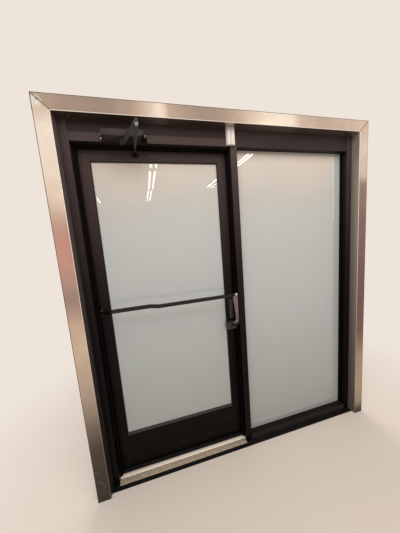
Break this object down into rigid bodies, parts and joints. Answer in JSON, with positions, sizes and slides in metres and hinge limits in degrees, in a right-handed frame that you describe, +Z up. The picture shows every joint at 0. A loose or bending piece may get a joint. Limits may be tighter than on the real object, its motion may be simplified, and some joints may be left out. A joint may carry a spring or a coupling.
{
  "type": "glass door",
  "caption": "Narrow-stile glass entrance door and fixed sidelite in a dark aluminium frame, with metal casing, overhead closer, push bar, latch and threshold.",
  "frame": {"origin": "on the floor, midway across the frame, in the plane of the frame's front face", "axes": "+X to the right seen from the push bar's side, +Y into the wall towards the side the door opens to, +Z up"},
  "size_m": [2.0862, 0.4298, 2.3163],
  "materials": {
    "dark_frame": "dark bronze anodised, satin",
    "casing_sheet": "bright folded sheet, softly reflecting",
    "black_steel": "black, satin",
    "mill_aluminium": "mill finish, grooved tread",
    "black_rubber": "matte black",
    "clear_glass": "clear insulated unit",
    "pale_plastic": "off-white, satin",
    "closer_paint": "dark bronze paint",
    "bright_screw": "bright",
    "satin_steel": "satin",
    "housing_paint": "greyish brown, satin"
  },
  "bodies": {
    "frame": {"casing_left": "casing_sheet", "casing_head": "casing_sheet", "casing_right": "casing_sheet", "hinge_jamb": "dark_frame", "mullion": "dark_frame", "end_jamb": "dark_frame", "door_header": "dark_frame", "sidelite_header": "dark_frame", "sidelite_sill": "dark_frame", "head_filler": "dark_frame", "base_plate": "black_steel", "threshold": "mill_aluminium", "threshold_seal": "black_rubber", "hinge_side_stop": "dark_frame", "latch_side_stop": "dark_frame", "head_stop": "dark_frame", "weather_seal": "black_rubber", "sidelite_glass": "clear_glass", "sidelite_setting_blocks": "black_rubber", "sidelite_front_gasket": "black_rubber", "sidelite_back_gasket": "black_rubber", "cable_raceway": "pale_plastic", "closer_body": "closer_paint", "closer_screws": "bright_screw", "strike_plate": "satin_steel", "hinge_frame_leaves": "satin_steel", "hinge_pins": "satin_steel"},
    "door": {"hinge_stile": "dark_frame", "latch_stile": "dark_frame", "top_rail": "dark_frame", "bottom_rail": "dark_frame", "bead_hinge_side": "dark_frame", "bead_latch_side": "dark_frame", "bead_bottom": "dark_frame", "bead_top": "dark_frame", "door_glass": "clear_glass", "door_setting_blocks": "black_rubber", "door_front_gasket": "black_rubber", "door_back_gasket": "black_rubber", "bottom_sweep": "black_rubber", "hinge_door_leaves": "satin_steel", "closer_shoe": "closer_paint", "shoe_screws": "bright_screw", "bar_bracket": "black_steel", "bar_pivot_pin": "black_steel", "latch_housing": "housing_paint", "lever_pin": "black_steel", "latch_escutcheon": "satin_steel", "latch_case": "satin_steel", "pull_handle": "satin_steel"},
    "push_bar": {"push_bar": "satin_steel"},
    "lever": {"lever_arm": "satin_steel", "bar_end_cap": "bright_screw"},
    "latch": {"latch_bolt": "satin_steel"},
    "closer_arm": {"closer_pinion": "closer_paint", "closer_main_arm": "closer_paint", "elbow_bolt": "closer_paint"},
    "forearm": {"forearm_tube": "closer_paint", "forearm_rod": "closer_paint"}
  },
  "joints": [
    {"name": "door_swing", "type": "hinge", "parent": "frame", "child": "door", "pos_m": [-0.92234, 0.1218, 1], "axis": [0, 0, 1], "range_deg": [0, 90], "stiffness_Nm_per_rad": 12},
    {"name": "closer_arm_swing", "type": "hinge", "parent": "frame", "child": "closer_arm", "pos_m": [-0.65563, -0.024, 2.111], "axis": [0, 0, 1], "range_deg": [0, 163.5]},
    {"name": "forearm_swing", "type": "hinge", "parent": "closer_arm", "child": "forearm", "pos_m": [-0.56463, -0.24, 2.102], "axis": [0, 0, 1], "range_deg": [-134, 0]},
    {"name": "bar_swing", "type": "hinge", "parent": "door", "child": "push_bar", "pos_m": [-0.8996, 0.052, 1.16], "axis": [0, 0, -1], "range_deg": [0, 1.16], "stiffness_Nm_per_rad": 300},
    {"name": "lever_swing", "type": "hinge", "parent": "door", "child": "lever", "pos_m": [-0.05, 0.052, 0.925], "axis": [1, 0, 0], "range_deg": [0, 4]},
    {"name": "latch_slide", "type": "slide", "parent": "door", "child": "latch", "axis": [1, 0, 0], "range_m": [0, 0.0127]}
  ],
  "couplings": [
    {"joint": "closer_arm_swing", "follows": "door_swing", "ratio": 1.8153},
    {"joint": "forearm_swing", "follows": "door_swing", "ratio": -1.488},
    {"joint": "lever_swing", "follows": "bar_swing", "ratio": 3.448},
    {"joint": "latch_slide", "follows": "bar_swing", "m_per_rad": 0.627}
  ]
}
